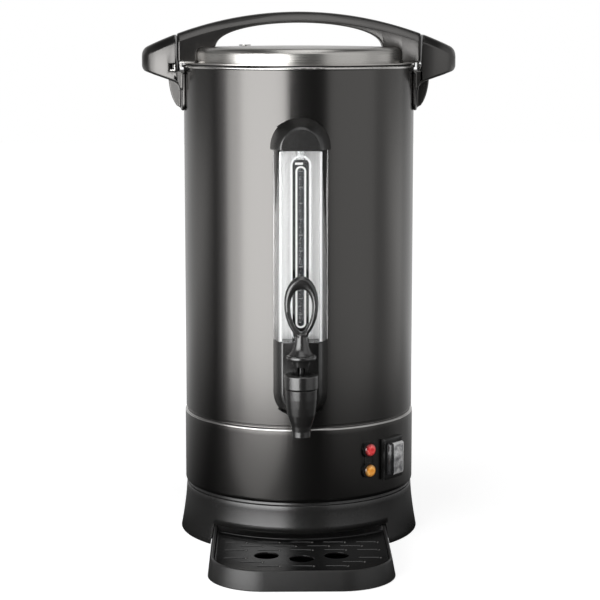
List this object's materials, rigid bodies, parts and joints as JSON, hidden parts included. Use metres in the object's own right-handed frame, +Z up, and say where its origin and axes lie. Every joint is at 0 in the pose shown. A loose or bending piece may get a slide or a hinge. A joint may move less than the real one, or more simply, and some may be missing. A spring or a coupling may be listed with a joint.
{
  "type": "coffee urn",
  "caption": "Cylindrical percolator urn with lever tap, sight gauge, lock-on lid under an arched handle, lit controls and a pull-out drip tray.",
  "frame": {"origin": "on the floor, at the urn's own axis", "axes": "+Z up along the urn's axis, -Y towards the tap and drip tray, +X to the right seen from the front"},
  "size_m": [0.313, 0.3725, 0.5232],
  "materials": {
    "black_plastic": "satin charcoal moulding",
    "black_paint": "satin black paint over steel",
    "stainless": "brushed stainless steel",
    "polished_steel": "mirror-polished stainless steel",
    "zinc_steel": "zinc-plated steel",
    "heater_steel": "dull sheathed element",
    "aluminium": "pressed aluminium",
    "spring_steel": "spring wire",
    "ceramic_white": "white heat-resistant moulding",
    "switch_black": "gloss black",
    "clear_silicone": "clear silicone",
    "clear_plastic": "clear polycarbonate",
    "clear_glass": "clear glass",
    "brass_tabs": "brass",
    "red_lens": "red lens",
    "amber_lens": "amber lens",
    "scale_black": "printed black strip",
    "pale_silicone": "food-grade silicone",
    "dark_silicone": "black silicone",
    "foot_rubber": "rubber",
    "gloss_black": "gloss black"
  },
  "bodies": {
    "root": {"base_ring": "black_plastic", "base_plate": "zinc_steel", "rubber_feet": "foot_rubber", "base_screws": "zinc_steel", "control_housing": "black_paint", "outer_shell": "black_paint", "tank": "stainless", "main_heater": "heater_steel", "heater_plate": "aluminium", "well_heater": "heater_steel", "thermostat": "ceramic_white", "thermal_cutout": "aluminium", "terminal_block": "ceramic_white", "cord_gland": "black_plastic", "switch_frame": "switch_black", "switch_boot": "clear_silicone", "switch_terminals": "brass_tabs", "lamp_bezels": "switch_black", "boil_lamp": "red_lens", "warm_lamp": "amber_lens", "side_handle_left": "black_plastic", "side_handle_right": "black_plastic", "handle_screws": "zinc_steel", "lock_tabs": "stainless", "gauge_cap": "black_plastic", "gauge_base": "black_plastic", "gauge_back": "polished_steel", "gauge_cover": "clear_plastic", "gauge_screws": "zinc_steel", "level_scale": "scale_black", "sight_tube": "clear_glass", "sight_tube_seals": "pale_silicone", "tap_shank": "stainless", "shank_nut": "stainless", "shank_washers": "pale_silicone", "tap_body": "black_plastic", "tap_bonnet": "black_plastic"},
    "lid_seal": {"lid_gasket": "dark_silicone"},
    "lid": {"lid_shell": "polished_steel", "lid_handle": "black_plastic", "lid_handle_screws": "zinc_steel", "lid_lugs": "stainless", "lid_vent": "stainless"},
    "tray": {"drip_tray": "black_plastic"},
    "grate": {"drip_grate": "gloss_black"},
    "stem": {"tap_stem": "stainless", "tap_seat": "pale_silicone", "tap_spring": "spring_steel", "lever_pin": "stainless"},
    "lever": {"tap_lever": "black_plastic"},
    "rocker": {"switch_rocker": "switch_black"},
    "pump": {"pump_tube": "stainless"},
    "basket": {"filter_basket": "aluminium"},
    "spreader": {"basket_cover": "aluminium"}
  },
  "joints": [
    {"name": "lid_lift", "type": "slide", "parent": "root", "child": "lid_seal", "axis": [0, 0, 1], "range_m": [0, 0.8]},
    {"name": "lid_turn", "type": "hinge", "parent": "lid_seal", "child": "lid", "pos_m": [0, 0, 0.4724], "axis": [0, 0, 1], "range_deg": [0, 25]},
    {"name": "tray_slide", "type": "slide", "parent": "root", "child": "tray", "axis": [0, -1, 0], "range_m": [0, 0.12]},
    {"name": "grate_lift", "type": "slide", "parent": "tray", "child": "grate", "axis": [0, 0, 1], "range_m": [0, 0.06]},
    {"name": "stem_lift", "type": "slide", "parent": "root", "child": "stem", "axis": [0, 0, 1], "range_m": [0, 0.0037], "stiffness_N_per_m": 60, "springref_m": -0.004, "deforming": ["tap_spring"]},
    {"name": "lever_tilt", "type": "hinge", "parent": "stem", "child": "lever", "pos_m": [0, -0.166, 0.194], "axis": [1, 0, 0], "range_deg": [0, 28]},
    {"name": "rocker_tilt", "type": "hinge", "parent": "root", "child": "rocker", "pos_m": [0.08782, -0.07111, 0.086], "axis": [0.6293, 0.7771, 0], "range_deg": [0, 14]},
    {"name": "pump_lift", "type": "slide", "parent": "root", "child": "pump", "axis": [0, 0, 1], "range_m": [0, 0.41]},
    {"name": "basket_lift", "type": "slide", "parent": "pump", "child": "basket", "axis": [0, 0, 1], "range_m": [0, 0.13]},
    {"name": "spreader_lift", "type": "slide", "parent": "basket", "child": "spreader", "axis": [0, 0, 1], "range_m": [0, 0.09]}
  ],
  "couplings": [
    {"joint": "stem_lift", "follows": "lever_tilt", "m_per_rad": 0.0075},
    {"joint": "pump_lift", "follows": "lid_lift", "ratio": 0.5},
    {"joint": "basket_lift", "follows": "lid_lift", "ratio": 0.16},
    {"joint": "spreader_lift", "follows": "lid_lift", "ratio": 0.1}
  ]
}
